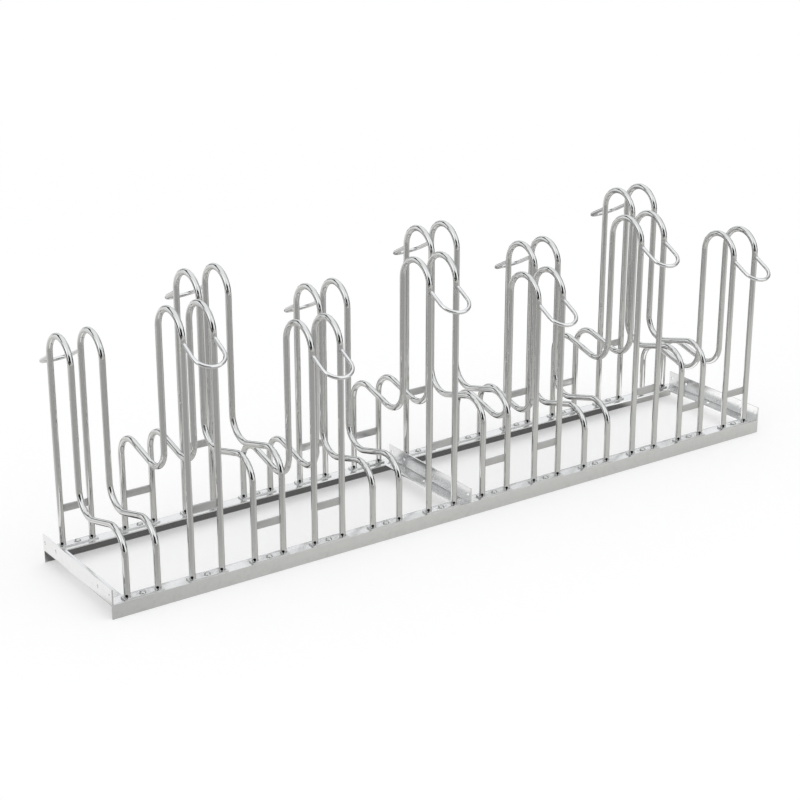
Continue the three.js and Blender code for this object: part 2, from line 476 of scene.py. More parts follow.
# The inside of the tubes is painted near black: painted shade for the dark hollow behind the drain openings
boreInPaintedShade = makeZinc("boreInPaintedShade", {
    "Tone": (0.05, 0.048, 0.046, 1),
    "Spangle Scale": 200.0,
    "Spangle Contrast": 0.2,
    "Cloud Scale": 60.0,
    "Cloud Contrast": 0.3,
    "Roughness": 0.6,
    "Roughness Variation": 0.1,
    "Grime": 0.8,
    "Bump": 0.2,
})
print("zinc finishes made")


# Where the twelve holders stand, read from the frame
holderCount = 12
frameSteel = {
    "railTop": 0.038,
    "plateTop": 0.0423,
    "steel": 0.004,
}
railUnderside = frameSteel["railTop"] - frameSteel["steel"]


def readHolders():
    found = []
    for number in range(1, holderCount + 1):
        name = "holder_%02d" % number
        lowLeft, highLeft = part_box(name + "_left_bow")
        lowRight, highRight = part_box(name + "_right_bow")
        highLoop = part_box(name + "_lock_loop")[1]
        middle = (lowLeft.x + highLeft.x) / 2
        found.append({
            "name": name,
            "x": middle,
            "bowX": (lowRight.x + highRight.x) / 2 - middle,
            "tubeRadius": (highRight.x - lowRight.x) / 2,
            "legY": highRight.y - (highRight.x - lowRight.x) / 2,
            "top": highRight.z,
            "tallSide": 1 if highLoop.y > highRight.y else -1,
            "high": name + "_short_side_spacer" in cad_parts,
        })
    return found


def holderOf(side, high):
    return [holder for holder in holders if holder["tallSide"] == side and holder["high"] == high][0]


def liftOf(high):
    return tierLift if high else 0


holders = readHolders()
first = holders[0]
bowX = first["bowX"]
tubeRadius = first["tubeRadius"]
legY = first["legY"]
lowTop = min(holder["top"] for holder in holders)
tierLift = max(holder["top"] for holder in holders) - lowTop
bothSides = (1, -1)
holderKinds = [(side, high) for side in bothSides for high in (False, True)]
print("holders at", [round(holder["x"], 4) for holder in holders])

# Bows: round tube, bent in one plane from the foot of the tall leg to the foot of the short leg
bow = {
    "sides": 40,
    "wall": 0.0015,
    "bendRadius": 0.059,
    "dipClearance": 0.1695,
    "riseAngle": math.radians(15),
    "stepsPerTurn": 60,
    "footRing": 0.012,
    "drainSides": 24,
    "drainWidth": 0.0076,
    "drainHeight": 0.009,
    "drainFacing": math.radians(215),  # round from the rear by the right: 180 is the front, 270 the left
}


def turnRing(side, over, angle, centreY, centreZ):
    # Carries the last ring round a bend: over is 1 for a crown and -1 for a dip
    bpy.ops.mesh.spin(
        steps=round(bow["stepsPerTurn"] * angle / math.tau),
        angle=angle,
        center=(0, centreY, centreZ),
        axis=(-side * over, 0, 0),
    )


def drainOutwards():
    return Vector((math.sin(bow["drainFacing"]), math.cos(bow["drainFacing"]), 0))


def drainCutter(y):
    outwards = drainOutwards()
    width = bow["drainWidth"]
    rise = frameSteel["plateTop"] + bow["drainHeight"] - width / 2
    middle = Vector((0, y, rise)) + outwards * tubeRadius
    cutter = addCylinder(bow["drainSides"], width / 2, tubeRadius, middle)
    cutter.rotation_euler = outwards.to_track_quat("Z", "Y").to_euler()
    return cutter


def modelBow(side, lift):
    radius = bow["bendRadius"]
    slope = bow["riseAngle"]
    foot = frameSteel["plateTop"]
    crown = lowTop + lift - tubeRadius - radius
    dip = bow["dipClearance"] + lift + tubeRadius + radius
    run = 2 * legY - 4 * radius - 2 * radius * math.sin(slope)
    climb = run * math.tan(slope)
    arch = dip - 2 * radius * math.cos(slope) + climb
    bpy.ops.mesh.primitive_circle_add(
        vertices=bow["sides"], radius=tubeRadius, fill_type="NOTHING", location=(0, side * legY, foot),
    )
    piece = bpy.context.active_object
    applyPlace(piece)
    startEdit(piece)
    extrude(0, 0, bow["footRing"])
    extrude(0, 0, crown - foot - bow["footRing"])
    turnRing(side, 1, math.pi, side * (legY - radius), crown)
    extrude(0, 0, dip - crown)
    turnRing(side, -1, math.pi / 2 + slope, side * (legY - 3 * radius), dip)
    extrude(0, -side * run, climb)
    turnRing(side, 1, math.pi / 2 + slope, -side * (legY - radius), arch)
    extrude(0, 0, foot + bow["footRing"] - arch)
    extrude(0, 0, -bow["footRing"])
    endSweep()
    piece.data.materials.append(galvanisedTube)
    piece.data.materials.append(boreInPaintedShade)
    bpy.ops.object.modifier_add(type="SOLIDIFY")
    wall = piece.modifiers[-1]
    wall.thickness = bow["wall"]
    wall.offset = -1
    wall.use_rim = True
    wall.material_offset = 1
    bpy.ops.object.modifier_apply(modifier=wall.name)
    for y in (side * legY, -side * legY):
        cutWith(piece, drainCutter(y))
    smoothBelow(piece, 35)
    return piece


bowMasters = {(side, high): modelBow(side, liftOf(high)) for side, high in holderKinds}
print("bows modelled")

# Foot plates: flat bar, sheared to length, one under each pair of legs
footPlate = {
    "length": 0.106,
    "width": 0.024,
    "edge": 0.0006,
    "corner": 0.0012,
    "hole": 0.009,
    "holeSides": 24,
    "cutterLength": 0.02,
}


def modelPlate():
    base = frameSteel["railTop"]
    top = frameSteel["plateTop"]
    piece = addBlock((0, 0, (base + top) / 2), (footPlate["length"], footPlate["width"], top - base))
    selectParts(piece, "EDGE", lambda edge: edgeRise(piece, edge) > nearby)
    bpy.ops.mesh.bevel(offset=footPlate["corner"], segments=3, profile=0.5)
    endEdit()
    hole = addCylinder(footPlate["holeSides"], footPlate["hole"] / 2, footPlate["cutterLength"], (0, 0, top))
    cutWith(piece, hole)
    bevelWith(piece, footPlate["edge"], segments=2, angle=50)
    smoothBelow(piece, 35)
    return piece


plateMaster = modelPlate()

# Bolts, washers and nuts
fastener = {
    "headSegments": 32,
    "headRings": 24,
    "headDiameter": 0.017,
    "headRise": 0.005,
    "headRim": 0.0007,
    "shank": 0.008,
    "tail": 0.0245,
    "pitch": 0.00125,
    "threadDepth": 0.0006,
    "washerDiameter": 0.016,
    "washerThickness": 0.0016,
    "washerEdge": 0.0003,
    "washerCutter": 0.01,
    "nutAcross": 0.015,
    "nutHeight": 0.0065,
    "nutTrim": 0.0011,
    "nutTrimSides": 48,
    "nutCutter": 0.03,
    "holeSides": 32,
    "boltTurn": 0.7,  # from one holder to the next
    "nutTurn": 0.9,
}


def modelBolt():
    base = frameSteel["plateTop"]
    radius = fastener["headDiameter"] / 2
    bpy.ops.mesh.primitive_uv_sphere_add(
        segments=fastener["headSegments"], ring_count=fastener["headRings"],
        radius=radius, location=(0, 0, base),
    )
    piece = bpy.context.active_object
    piece.scale.z = fastener["headRise"] / radius
    applyPlace(piece)
    startEdit(piece)
    bpy.ops.mesh.bisect(
        plane_co=(0, 0, base + fastener["headRim"]),
        plane_no=(0, 0, 1),
        clear_inner=True,
        use_fill=True,
    )
    endEdit()
    # The filled cut goes down for the rim, in for the shank, and down again in steps for the thread
    selectParts(piece, "FACE", lambda face: face.normal.z < -facingShare)
    extrude(0, 0, -fastener["headRim"])
    bpy.ops.mesh.inset(thickness=radius - fastener["shank"] / 2)
    extrude(0, 0, railUnderside - base)
    thread = (fastener["shank"] / 2 - fastener["threadDepth"]) / (fastener["shank"] / 2)
    turns = int((railUnderside - fastener["tail"]) / fastener["pitch"])
    for turn in range(turns):
        for share in (thread, 1 / thread):
            extrude(0, 0, -fastener["pitch"] / 2)
            bpy.ops.transform.resize(value=(share, share, 1))
    endEdit()
    smoothBelow(piece, 40)
    return piece


def modelWasher():
    sides = fastener["holeSides"]
    thickness = fastener["washerThickness"]
    middle = (0, 0, railUnderside - thickness / 2)
    piece = addCylinder(sides, fastener["washerDiameter"] / 2, thickness, middle)
    applyPlace(piece)
    hole = addCylinder(sides, fastener["shank"] / 2, fastener["washerCutter"], (0, 0, railUnderside))
    cutWith(piece, hole)
    bevelWith(piece, fastener["washerEdge"], segments=2, angle=50)
    smoothBelow(piece, 35)
    return piece


def modelNut():
    top = railUnderside - fastener["washerThickness"]
    height = fastener["nutHeight"]
    radius = fastener["nutAcross"] / 2
    middle = (0, 0, top - height / 2)
    piece = addCylinder(6, radius, height, middle)
    applyPlace(piece)
    # A disc with sloping edges trims the corners of the hexagon
    trimmer = addCylinder(fastener["nutTrimSides"], radius, height, middle)
    applyPlace(trimmer)
    selectParts(trimmer, "EDGE", lambda edge: edgeRise(trimmer, edge) < nearby)
    bpy.ops.mesh.bevel(offset=fastener["nutTrim"], segments=1)
    endEdit()
    combineWith(piece, trimmer, "INTERSECT")
    hole = addCylinder(fastener["holeSides"], fastener["shank"] / 2, fastener["nutCutter"], (0, 0, top))
    cutWith(piece, hole)
    smoothBelow(piece, 20)
    return piece


boltMaster = modelBolt()
washerMaster = modelWasher()
nutMaster = modelNut()
print("plates, bolts, washers and nuts modelled")

# Lock loops: round rod, out and down from one tall leg and back to the other
lockLoop = {
    "sides": 24,
    "radius": 0.005,
    "drop": 0.068,
    "arm": 0.0423,
    "slope": math.radians(28),
    "stepsPerTurn": 48,
    "intoLeg": 0.005,
}


def loopOutwards(side):
    return Vector((0, side * math.cos(lockLoop["slope"]), -math.sin(lockLoop["slope"])))


def loopRoot(side):
    # Where the loop's middle line meets the outside of the tall legs
    height = lowTop - tubeRadius - lockLoop["drop"]
    return Vector((0, side * (legY + tubeRadius), height))


def modelLoop(side):
    outwards = loopOutwards(side)
    across = Vector((0, side * math.sin(lockLoop["slope"]), math.cos(lockLoop["slope"])))
    root = loopRoot(side) - outwards * lockLoop["intoLeg"]
    start = root - Vector((bowX, 0, 0))
    bpy.ops.mesh.primitive_circle_add(
        vertices=lockLoop["sides"], radius=lockLoop["radius"], fill_type="NGON", location=start,
    )
    piece = bpy.context.active_object
    piece.rotation_euler = outwards.to_track_quat("Z", "X").to_euler()
    applyPlace(piece)
    startEdit(piece)
    arm = outwards * (lockLoop["arm"] + lockLoop["intoLeg"])
    extrude(*arm)
    bpy.ops.mesh.spin(
        steps=round(lockLoop["stepsPerTurn"] / 2),
        angle=math.pi,
        center=root + arm,
        axis=across * side,
    )
    extrude(*(-arm))
    endSweep()
    smoothBelow(piece, 35)
    return piece


loopMasters = {side: modelLoop(side) for side in bothSides}
print("lock loops modelled")

# Spacers: flat bar between the two legs on one side of a holder
spacerBar = {
    "edge": 0.0005,
    "intoLeg": 0.0003,
}


def modelSpacer():
    low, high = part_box(first["name"] + "_tall_side_spacer")
    size = high - low
    length = 2 * (bowX - tubeRadius + spacerBar["intoLeg"])
    piece = addBlock((0, 0, 0), (length, size.y, size.z))
    bevelWith(piece, spacerBar["edge"], segments=2, angle=50)
    smoothBelow(piece, 35)
    return piece


spacerMaster = modelSpacer()

# Weld beads: rippled fillets at the feet, at the ends of the loops and along the ends of the spacers
weld = {
    "bead": 0.0012,
    "ripples": 14,
    "rippleDepth": 0.00016,
    "segments": 56,
    "ringSides": 10,
    "drainGap": 0.0004,
    "loopBead": 0.0016,
    "loopBeadRise": 0.0002,
    "loopBeadOut": 0.0004,
    "loopBeadStretch": 1.12,
    "loopRipples": 11,
    "loopRippleDepth": 0.00018,
    "loopSegments": 40,
    "loopRingSides": 8,
    "spacerBead": 0.0013,
    "spacerBeadWidth": 1.25,
    "spacerBeadShare": 0.86,
    "spacerBeadBlunt": 0.9,
    "spacerBeadIntoLeg": 0.0002,
    "spacerRipplePitch": 0.0016,
    "spacerRippleShare": 0.1,
    "spacerSegments": 12,
    "spacerRings": 28,
}


def rippleBead(piece, centre):
    # Pushes the rings of a bead out and in by turns
    for corner in piece.data.vertices:
        around = math.atan2(corner.co.y - centre.y, corner.co.x - centre.x)
        swell = 1 + weld["rippleDepth"] / weld["bead"] * math.cos(weld["ripples"] * around)
        out = Vector((corner.co.x - centre.x, corner.co.y - centre.y, 0))
        onRing = out.normalized() * tubeRadius + Vector((centre.x, centre.y, centre.z))
        corner.co = onRing + (corner.co - onRing) * swell


def footBead(x, y):
    # The bead stops on both sides of the drain opening
    foot = frameSteel["plateTop"]
    bpy.ops.mesh.primitive_torus_add(
        major_radius=tubeRadius, minor_radius=weld["bead"],
        major_segments=weld["segments"], minor_segments=weld["ringSides"], location=(x, y, foot),
    )
    piece = bpy.context.active_object
    applyPlace(piece)
    centre = Vector((x, y, foot))
    rippleBead(piece, centre)
    outwards = drainOutwards()
    gap = bow["drainWidth"] / 2 + weld["drainGap"]

    def inGap(face):
        fromCentre = face.center - centre
        aside = fromCentre.cross(outwards).z
        return fromCentre.dot(outwards) > 0 and abs(aside) < gap

    selectParts(piece, "FACE", inGap)
    bpy.ops.mesh.delete(type="FACE")
    bpy.ops.mesh.select_all(action="SELECT")
    bpy.ops.mesh.fill_holes(sides=0)
    endEdit()
    return piece


def loopBead(x, side):
    # A ring round the rod where it meets the leg, leaning with the rod
    root = loopRoot(side) + Vector((x, 0, 0))
    bpy.ops.mesh.primitive_torus_add(
        major_radius=lockLoop["radius"] + weld["loopBeadRise"], minor_radius=weld["loopBead"],
        major_segments=weld["loopSegments"], minor_segments=weld["loopRingSides"], location=(0, 0, 0),
    )
    piece = bpy.context.active_object
    piece.rotation_euler = (math.pi / 2, 0, 0)
    piece.scale = (1, 1, weld["loopBeadStretch"])
    applyPlace(piece)
    # The ring follows the round of the leg
    for corner in piece.data.vertices:
        corner.co.y += side * (math.sqrt(max(tubeRadius ** 2 - corner.co.x ** 2, 0)) - tubeRadius)
        around = math.atan2(corner.co.z, corner.co.x)
        corner.co.y += side * weld["loopRippleDepth"] * math.cos(weld["loopRipples"] * around)
    piece.location = root + loopOutwards(side) * weld["loopBeadOut"]
    applyPlace(piece)
    return piece


def spacerBead(side, z, end):
    # A short upright bead in the corner between the bar's outside and the leg
    low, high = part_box(first["name"] + "_tall_side_spacer")
    length = (high.z - low.z) * weld["spacerBeadShare"]
    radius = weld["spacerBead"]
    bpy.ops.mesh.primitive_uv_sphere_add(
        segments=weld["spacerSegments"], ring_count=weld["spacerRings"], radius=1, location=(0, 0, 0),
    )
    piece = bpy.context.active_object
    piece.scale = (radius * weld["spacerBeadWidth"], radius, length / 2)
    applyPlace(piece)
    for corner in piece.data.vertices:
        blunt = 1 + weld["spacerBeadBlunt"] * (abs(corner.co.z) / (length / 2)) ** 2
        around = corner.co.z * 2 * math.pi / weld["spacerRipplePitch"]
        ripple = 1 + weld["spacerRippleShare"] * math.cos(around)
        corner.co.x *= blunt * ripple
        corner.co.y *= blunt * ripple
    thick = (high.y - low.y) / 2
    x = end * (bowX - tubeRadius - weld["spacerBeadIntoLeg"])
    piece.location = (x, side * (legY + thick), z)
    applyPlace(piece)
    return piece


def modelWelds(side, high):
    name = holderOf(side, high)["name"]
    bars = [(side, name + "_tall_side_spacer")]
    if high:
        bars.append((-side, name + "_short_side_spacer"))
    beads = [footBead(x, y) for x in (-bowX, bowX) for y in (-legY, legY)]
    for x in (-bowX, bowX):
        ring = loopBead(x, side)
        ring.location.z = liftOf(high)
        applyPlace(ring)
        beads.append(ring)
    for barSide, node in bars:
        low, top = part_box(node)
        for end in (-1, 1):
            beads.append(spacerBead(barSide, (low.z + top.z) / 2, end))
    piece = joinPieces(beads)
    smoothBelow(piece, 60)
    return piece


weldMasters = {(side, high): modelWelds(side, high) for side, high in holderKinds}
print("welds modelled")

# Rails: steel angle with a rounded root, its upright flange outside and on the ground
rail = {
    "root": 0.003,
    "toe": 0.0008,
    "heel": 0.0004,
    "depth": 0.38,  # from the outside of one rail to the outside of the other
    "holeSides": 16,
    "cutterLength": 0.02,
}


def modelRail(side):
    low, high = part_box("rear_rail" if side > 0 else "front_rail")
    outside = side * rail["depth"] / 2
    inside = low.y if side > 0 else high.y
    steel = frameSteel["steel"]
    top = frameSteel["railTop"]
    piece = addBlock(
        ((low.x + high.x) / 2, outside - side * steel / 2, top / 2),
        (high.x - low.x, steel, top),
    )
    startEdit(piece)
    bpy.ops.mesh.bisect(plane_co=(0, 0, railUnderside), plane_no=(0, 0, 1))
    endEdit()
    uprightInside = outside - side * steel

    def isTopInside(face):
        return face.normal.y * side < -facingShare and face.center.z > railUnderside

    selectParts(piece, "FACE", isTopInside)
    extrude(0, inside - uprightInside, 0)
    endEdit()

    def isAt(edge, y, z):
        # Only edges along the rail count
        a, b = edgeEnds(piece, edge)
        return abs(a.x - b.x) > 1 and abs(a.y - y) < nearby and abs(a.z - z) < nearby

    roundEdges(piece, (
        (rail["root"], 5, [(uprightInside, railUnderside)]),
        (rail["toe"], 4, [(inside, railUnderside), (uprightInside, 0)]),
        (rail["heel"], 3, [(outside, top), (inside, top), (outside, 0)]),
    ), isAt)
    cutters = [
        addCylinder(
            rail["holeSides"], footPlate["hole"] / 2, rail["cutterLength"], (holder["x"], side * legY, top),
        )
        for holder in holders
    ]
    cutWith(piece, joinPieces(cutters))
    smoothBelow(piece, 30)
    return piece


# Cross angles: the web stands up over the rails, the flange lies between them
cross = {
    "root": 0.0025,
    "toe": 0.0005,
    "heel": 0.0005,
    "edge": 0.0004,
    "railGap": 0.0003,
    "holeDiameter": 0.009,
    "holeFromEnd": 0.012,
    "holePitch": 0.062,
    "anchorDiameter": 0.012,
    "holeSides": 32,
    "cutterLength": 0.02,
}


def modelCross(name, reach):
    # reach is the side of the web to which the flange goes
    low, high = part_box(name)
    steel = frameSteel["steel"]
    railTop = frameSteel["railTop"]
    base = low.z
    webX = low.x + steel / 2 if reach > 0 else high.x - steel / 2
    webZ = (railTop + high.z) / 2
    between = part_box("rear_rail")[0].y - cross["railGap"]
    piece = addBlock((webX, 0, webZ), (steel, high.y - low.y, high.z - railTop))
    startEdit(piece)
    for y in (-between, between):
        bpy.ops.mesh.select_all(action="SELECT")
        bpy.ops.mesh.bisect(plane_co=(0, y, 0), plane_no=(0, 1, 0))
    endEdit()
    selectParts(piece, "FACE", lambda face: face.normal.z < -facingShare and abs(face.center.y) < between)
    extrude(0, 0, base - railTop)
    endEdit()
    selectParts(piece, "FACE", lambda face: face.normal.x * reach > facingShare and face.center.z < railTop)
    extrude(reach * (high.x - low.x - steel), 0, 0)
    endEdit()
    heelX = low.x if reach > 0 else high.x
    rootX = heelX + reach * steel
    toeX = high.x if reach > 0 else low.x

    def isAt(edge, x, z):
        # Only long edges across the rack count
        a, b = edgeEnds(piece, edge)
        return abs(a.y - b.y) > 0.1 and all(abs(p.x - x) < nearby and abs(p.z - z) < nearby for p in (a, b))

    roundEdges(piece, (
        (cross["root"], 5, [(rootX, railTop)]),
        (cross["toe"], 4, [(toeX, railTop)]),
        (cross["heel"], 3, [(heelX, base), (toeX, base)]),
    ), isAt)
    cutters = []
    for side in bothSides:
        for inwards in (0, cross["holePitch"]):
            y = side * (high.y - cross["holeFromEnd"] - inwards)
            cutters.append(addCylinder(
                cross["holeSides"], cross["holeDiameter"] / 2, cross["cutterLength"],
                (webX, y, webZ), (0, math.pi / 2, 0),
            ))
    cutters.append(addCylinder(
        cross["holeSides"], cross["anchorDiameter"] / 2, cross["cutterLength"],
        (heelX + reach * (high.x - low.x) / 2, 0, base),
    ))
    cutWith(piece, joinPieces(cutters))
    bevelWith(piece, cross["edge"], segments=1, angle=55)
    smoothBelow(piece, 32)
    return piece


for side in bothSides:
    name = "rear_rail" if side > 0 else "front_rail"
    piece = modelRail(side)
    piece.name = name + "_angle"
    dress(piece, [galvanisedAngle], "galvanised_angle", name)
for name, reach in (("left_cross_angle", 1), ("middle_cross_angle", -1), ("right_cross_angle", -1)):
    piece = modelCross(name, reach)
    piece.name = name + "_steel"
    dress(piece, [galvanisedAngle], "galvanised_angle", name)
print("frame of angles modelled")

# Every holder gets its own copies
for number, holder in enumerate(holders):
    name = holder["name"]
    x = holder["x"]
    side = holder["tallSide"]
    high = holder["high"]
    leftBow = name + "_left_bow"
    rightBow = name + "_right_bow"
    for node, offset in ((leftBow, -bowX), (rightBow, bowX)):
        piece = copyTo(bowMasters[side, high], node + "_tube", (x + offset, 0, 0))
        dress(piece, [galvanisedTube, boreInPaintedShade], "galvanised_tube", node)
    for footSide in bothSides:
        end = "rear" if footSide > 0 else "front"
        railName = end + "_rail"
        place = (x, footSide * legY, 0)
        plate = copyTo(plateMaster, name + "_" + end + "_foot_plate", place)
        dress(plate, [galvanisedFlat], "galvanised_flat", leftBow)
        bolt = copyTo(boltMaster, name + "_" + end + "_bolt", place, fastener["boltTurn"] * number)
        dress(bolt, [platedBolt], "galvanised_flat", railName)
        washer = copyTo(washerMaster, name + "_" + end + "_washer", place)
        dress(washer, [platedBolt], "galvanised_flat", railName)
        turn = fastener["nutTurn"] * number + footSide
        nut = copyTo(nutMaster, name + "_" + end + "_nut", place, turn)
        dress(nut, [platedBolt], "galvanised_flat", railName)
    loopNode = name + "_lock_loop"
    loop = copyTo(loopMasters[side], loopNode + "_rod", (x, 0, liftOf(high)))
    dress(loop, [galvanisedRod], "galvanised_rod", loopNode)
    for node, barSide in ((name + "_tall_side_spacer", side), (name + "_short_side_spacer", -side)):
        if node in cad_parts:
            low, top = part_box(node)
            bar = copyTo(spacerMaster, node + "_bar", (x, barSide * legY, (low.z + top.z) / 2))
            dress(bar, [flatBarShadedForSpacers], "galvanised_flat", node)
    beads = copyTo(weldMasters[side, high], name + "_welds", (x, 0, 0))
    dress(beads, [weldZincWithCreaseShade], "galvanised_tube")
masters = [plateMaster, boltMaster, washerMaster, nutMaster, spacerMaster]
masters += list(bowMasters.values()) + list(loopMasters.values()) + list(weldMasters.values())
for master in masters:
    bpy.data.objects.remove(master)
print("holders placed")

# Floor, lamps and cards. A level is how bright a thing looks, where 1 is white.
# A lamp adds to the white world, and reach is how far off the dome of softboxes and dark cards is.
studio = {
    "floorSize": 120.0,
    "floorColour": (0.64, 0.64, 0.64, 1),
    "floorColourInMetal": (0.645, 0.64, 0.62, 1),
    "floorGlow": 0.4,
    "floorGlowInMetal": 0.12,
    "whiteFrom": 1.6,
    "whiteAt": 5.0,
    "skyInMetal": (0.975, 0.992, 1.01, 1),
    "worldForDiffuse": 0.24,
    "worldTowards": (0.0, -0.14, 0.9),  # more light falls from above, and a little more from the front
    "lampTint": (0.975, 0.992, 1.01),
    "ceilingSize": 12.0,
    "ceilingHeight": 7.2,
    "ceilingLevel": 0.13,
    "reach": 20.0,
    "groundCardHeight": 0.0005,
    "groundCardStep": 0.0002,
    "innerCardHeight": 0.0018,
    "innerCardStep": 0.0001,
}
# name, azimuth, elevation, width and height in degrees as seen from the rack, and level.
# Azimuth goes round from the rear by the right, so that 180 is the front.
softboxes = [
    ("left_softbox", 257, 30, 28, 38, 0.45),
    ("rear_left_softbox", 320, 21, 24, 20, 0.14),
    ("front_right_softbox", 152, 29, 42, 44, 0.25),
    ("rear_softbox", 38, 20, 60, 28, 0.08),
]
# The same, and how much of the card's edge is soft
darkCards = [
    ("front_flag", 212, 8, 68, 52, 0.0, 0.3),
    ("right_flag", 104, 2, 54, 34, 0.0, 0.4),
    ("right_high_flag", 90, 34, 56, 26, 0.45, 0.5),
    ("rear_right_low_flag", 44, 2, 62, 20, 0.03, 0.35),
    ("rear_flag", 326, 40, 60, 24, 0.05, 0.3),
    ("rear_low_flag", 353, 21, 20, 38, 0.2, 0.4),
    ("left_flag", 289, 3, 46, 28, 0.0, 0.35),
]
# name, azimuth, nearest and farthest edge, width, level and soft edge, on the floor
groundCards = [
    ("front_ground_flag", 212, 0.35, 3.6, 5.6, 0.46, 0.45),
    ("front_left_ground_flag", 262, 2.6, 22.0, 18.0, 0.08, 0.2),
    ("right_ground_flag", 60, 2.0, 22.0, 24.0, 0.08, 0.2),
    ("rear_ground_flag", 25, 0.62, 2.1, 3.4, 0.3, 0.2),
    ("rear_left_ground_reflector", 342, 1.2, 12.0, 6.0, 0.96, 0.3),
    ("left_end_ground_reflector", 280, 1.04, 1.3, 0.9, 1.05, 0.15),
]
# name, x and y of the middle, width, depth, level and soft edge, on the floor in the rack and behind it
innerCards = [
    # This dark card is painted shade: seen only in the metal, it stands for the shaded floor under the rear
    # rail's flange
    ("rear_rail_painted_floor_shade", -0.09, 0.15, 1.98, 0.08, 0.12, 0.05),
    ("middle_ground_reflector", -0.135, -0.02, 0.18, 0.26, 1.1, 0.15),
    ("right_ground_reflector", 0.925, 0.0, 0.2, 0.33, 1.35, 0.12),
    ("middle_rear_ground_reflector", -0.13, 0.33, 0.3, 0.26, 1.0, 0.2),
    ("right_rear_ground_reflector", 0.9, 0.33, 0.3, 0.26, 1.0, 0.2),
]


def seenRays(tree, inMetal):
    # 1 for what the camera and glass see, inMetal for what metal sees, 0 for light that falls on things
    path = addNode(tree, "ShaderNodeLightPath")
    both = addNode(tree, "ShaderNodeMath", operation="MAXIMUM")
    tree.links.new(path.outputs["Is Camera Ray"], both.inputs[0])
    tree.links.new(path.outputs["Is Transmission Ray"], both.inputs[1])
    metal = addNode(tree, "ShaderNodeMath", operation="MULTIPLY")
    tree.links.new(path.outputs["Is Glossy Ray"], metal.inputs[0])
    metal.inputs[1].default_value = inMetal
    every = addNode(tree, "ShaderNodeMath", operation="MAXIMUM")
    tree.links.new(both.outputs[0], every.inputs[0])
    tree.links.new(metal.outputs[0], every.inputs[1])
    return every.outputs[0]


def makeFloor():
    bpy.ops.mesh.primitive_plane_add(size=studio["floorSize"], location=(0, 0, 0))
    floor = bpy.context.active_object
    floor.name = "floor"
    material = bpy.data.materials.new("floor")
    material.use_nodes = True
    tree = material.node_tree
    tree.nodes.clear()
    link = tree.links.new
    path = addNode(tree, "ShaderNodeLightPath")
    colour = addNode(tree, "ShaderNodeMix", data_type="RGBA")
    colour.inputs[6].default_value = studio["floorColour"]
    colour.inputs[7].default_value = studio["floorColourInMetal"]
    link(path.outputs["Is Glossy Ray"], colour.inputs["Factor"])
    matt = addNode(tree, "ShaderNodeBsdfDiffuse")
    link(colour.outputs[2], matt.inputs["Color"])
    # A little glow lifts the floor to white and leaves the rack its shadow
    share = studio["floorGlowInMetal"] / studio["floorGlow"]
    strength = addNode(tree, "ShaderNodeMath", operation="MULTIPLY")
    link(seenRays(tree, share), strength.inputs[0])
    strength.inputs[1].default_value = studio["floorGlow"]
    glow = addNode(tree, "ShaderNodeEmission", {"Color": (1, 1, 1, 1)})
    link(strength.outputs[0], glow.inputs["Strength"])
    lit = addNode(tree, "ShaderNodeAddShader")
    link(matt.outputs[0], lit.inputs[0])
    link(glow.outputs[0], lit.inputs[1])
    # Farther off, where no shadow falls, the floor is plain white
    place = addNode(tree, "ShaderNodeTexCoord")
    away = addNode(tree, "ShaderNodeVectorMath", operation="LENGTH")
    link(place.outputs["Object"], away.inputs[0])
    distance = addNode(tree, "ShaderNodeMapRange", {
        "From Min": studio["whiteFrom"],
        "From Max": studio["whiteAt"],
    }, interpolation_type="SMOOTHSTEP")
    link(away.outputs["Value"], distance.inputs["Value"])
    farShare = addNode(tree, "ShaderNodeMath", operation="MULTIPLY")
    link(seenRays(tree, 0.0), farShare.inputs[0])
    link(distance.outputs[0], farShare.inputs[1])
    white = addNode(tree, "ShaderNodeEmission", {"Color": (1, 1, 1, 1), "Strength": 1.0})
    mixed = addNode(tree, "ShaderNodeMixShader")
    link(farShare.outputs[0], mixed.inputs[0])
    link(lit.outputs[0], mixed.inputs[1])
    link(white.outputs[0], mixed.inputs[2])
    output = addNode(tree, "ShaderNodeOutputMaterial")
    link(mixed.outputs[0], output.inputs["Surface"])
    floor.data.materials.append(material)


def makeWorld():
    world = bpy.data.worlds.new("studio")
    scene.world = world
    world.use_nodes = True
    tree = world.node_tree
    tree.nodes.clear()
    # The light that falls on things grows towards the top and the front, to keep the shadow close to the rack
    direction = addNode(tree, "ShaderNodeTexCoord")
    towards = addNode(tree, "ShaderNodeVectorMath", operation="DOT_PRODUCT")
    tree.links.new(direction.outputs["Generated"], towards.inputs[0])
    towards.inputs[1].default_value = studio["worldTowards"]
    falling = addNode(tree, "ShaderNodeMath", operation="ADD")
    tree.links.new(towards.outputs["Value"], falling.inputs[0])
    falling.inputs[1].default_value = studio["worldForDiffuse"]
    level = addNode(tree, "ShaderNodeMapRange", {"To Max": 1.0})
    tree.links.new(seenRays(tree, 1.0), level.inputs["Value"])
    tree.links.new(falling.outputs[0], level.inputs["To Min"])
    path = addNode(tree, "ShaderNodeLightPath")
    colour = addNode(tree, "ShaderNodeMix", data_type="RGBA")
    colour.inputs[6].default_value = (1, 1, 1, 1)
    colour.inputs[7].default_value = studio["skyInMetal"]
    tree.links.new(path.outputs["Is Glossy Ray"], colour.inputs["Factor"])
    light = addNode(tree, "ShaderNodeBackground")
    tree.links.new(colour.outputs[2], light.inputs["Color"])
    tree.links.new(level.outputs[0], light.inputs["Strength"])
    output = addNode(tree, "ShaderNodeOutputWorld")
    tree.links.new(light.outputs[0], output.inputs["Surface"])


